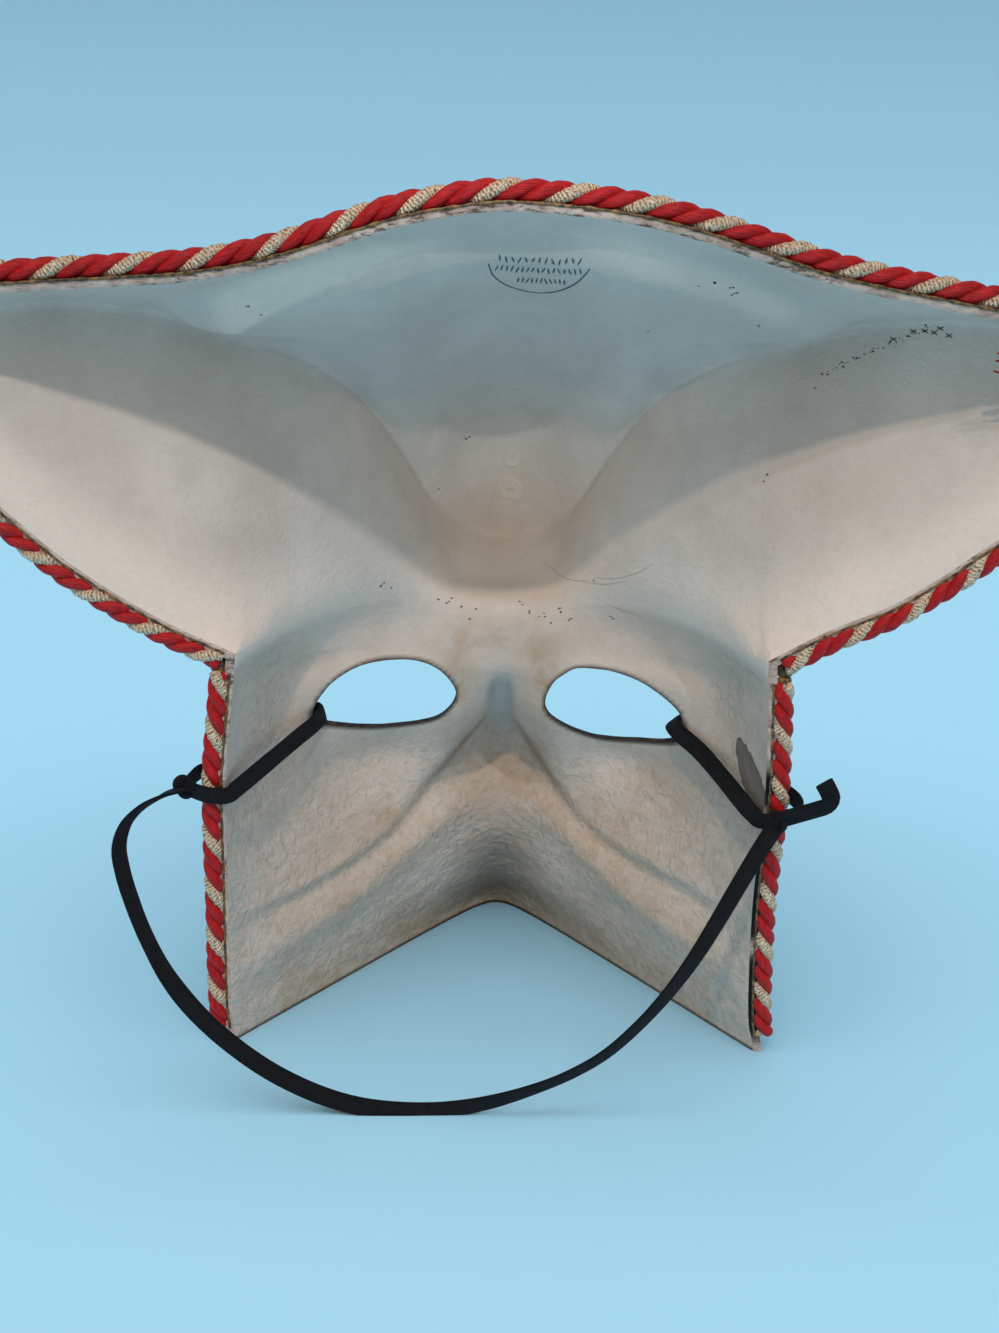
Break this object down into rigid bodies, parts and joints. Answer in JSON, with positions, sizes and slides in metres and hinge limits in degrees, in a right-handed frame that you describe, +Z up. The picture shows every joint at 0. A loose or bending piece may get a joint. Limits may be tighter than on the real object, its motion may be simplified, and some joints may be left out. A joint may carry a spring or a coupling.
{
  "type": "tricorn half mask",
  "caption": "Moulded papier-mache half mask with a three-cornered hat in one piece, open at the back, with rope trim and a tie-on elastic.",
  "frame": {"origin": "middle of the footprint of the mask without its elastic, on the ground it stands on", "axes": "+X to the wearer's left, -Y the way the face looks, +Z up as the mask stands on its lower edge"},
  "size_m": [0.336, 0.1441, 0.2511],
  "materials": {
    "papier_mache": "off-white gesso on moulded paper, matt, stained inside",
    "twisted_rope": "two red strands and a gold one, twisted",
    "elastic": "black flat braided elastic, matt"
  },
  "bodies": {
    "root": {"mask_shell": "papier_mache", "rope_top": "twisted_rope", "rope_wing_left": "twisted_rope", "rope_wing_right": "twisted_rope", "rope_side_left": "twisted_rope", "rope_side_right": "twisted_rope", "elastic_band": "elastic"}
  },
  "joints": []
}
